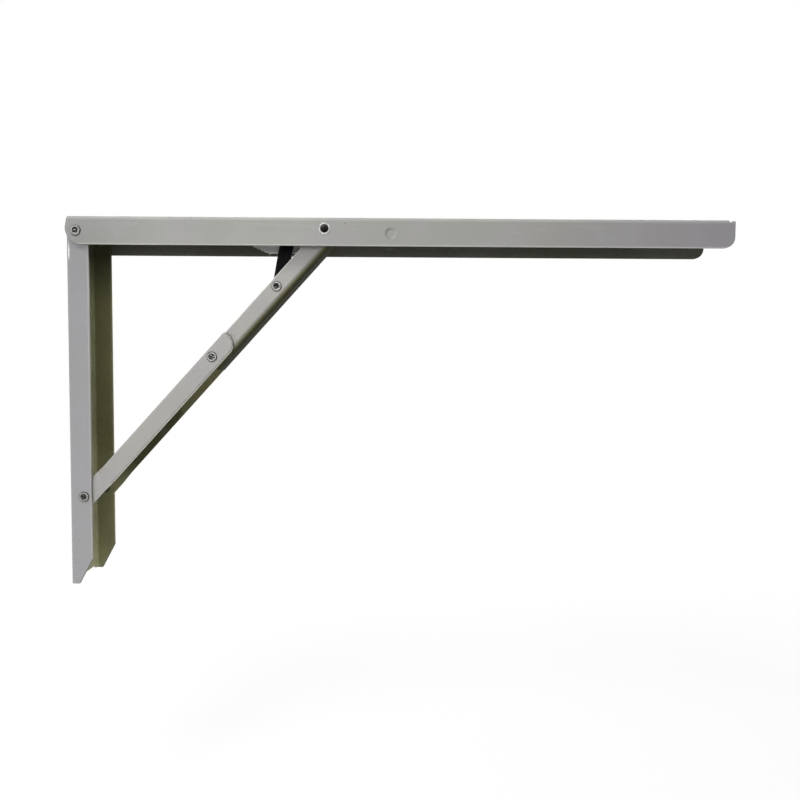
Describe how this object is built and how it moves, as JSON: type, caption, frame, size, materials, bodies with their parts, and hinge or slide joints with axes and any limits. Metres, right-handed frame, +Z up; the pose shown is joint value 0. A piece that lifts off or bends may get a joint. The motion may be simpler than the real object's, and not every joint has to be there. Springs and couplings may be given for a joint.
{
  "type": "drop leaf table bracket",
  "caption": "Folding support bracket of grey painted steel channels: a wall arm and a leaf arm hinged together, held square by a jointed brace with a release lever.",
  "frame": {"origin": "on the wall arm's back face, in its middle, level with the hinge axis", "axes": "+X out from the wall along the open leaf arm, +Z up, Y across the bracket along the pivots"},
  "size_m": [0.501, 0.0448, 0.2784],
  "materials": {
    "grey_paint": "satin",
    "black_paint": "satin",
    "rivet_steel": "bright",
    "zinc_plate": "zinc plated"
  },
  "bodies": {
    "wall": {"wall_arm": "grey_paint", "foot_rivet_front": "rivet_steel", "foot_rivet_back": "rivet_steel", "hinge_washer_front": "rivet_steel", "hinge_washer_back": "rivet_steel"},
    "leaf": {"leaf_arm": "grey_paint", "knee_tube": "rivet_steel", "catch_plate": "zinc_plate", "hinge_rivet_front": "rivet_steel", "hinge_rivet_back": "rivet_steel", "knee_spacer_front": "rivet_steel", "knee_spacer_back": "rivet_steel"},
    "lower": {"lower_brace": "grey_paint", "elbow_rivet_front": "rivet_steel", "elbow_rivet_back": "rivet_steel"},
    "upper": {"upper_brace": "grey_paint", "lever_pin": "rivet_steel", "elbow_tail_front": "rivet_steel", "elbow_tail_back": "rivet_steel", "elbow_washer_front": "rivet_steel", "elbow_washer_back": "rivet_steel"},
    "lever": {"release_lever": "black_paint", "lever_bush_front": "rivet_steel", "lever_bush_back": "rivet_steel"}
  },
  "joints": [
    {"name": "leaf_fold", "type": "hinge", "parent": "wall", "child": "leaf", "pos_m": [0.0088, 0, 0], "axis": [0, 1, 0], "range_deg": [0, 70]},
    {"name": "lower_swing", "type": "hinge", "parent": "wall", "child": "lower", "pos_m": [0.0108, 0, -0.2004], "axis": [0, 1, 0], "range_deg": [-38.79, 0]},
    {"name": "upper_swing", "type": "hinge", "parent": "leaf", "child": "upper", "pos_m": [0.1938, 0, 0.0025], "axis": [0, 1, 0], "range_deg": [0, 42.94]},
    {"name": "lever_swing", "type": "hinge", "parent": "upper", "child": "lever", "pos_m": [0.15635, 0, -0.03903], "axis": [0, 1, 0], "range_deg": [0, 33.2]}
  ],
  "couplings": [
    {"joint": "lower_swing", "follows": "leaf_fold", "ratio": -0.55128},
    {"joint": "upper_swing", "follows": "leaf_fold", "ratio": 0.61057},
    {"joint": "lever_swing", "follows": "leaf_fold", "ratio": 0.47143}
  ]
}
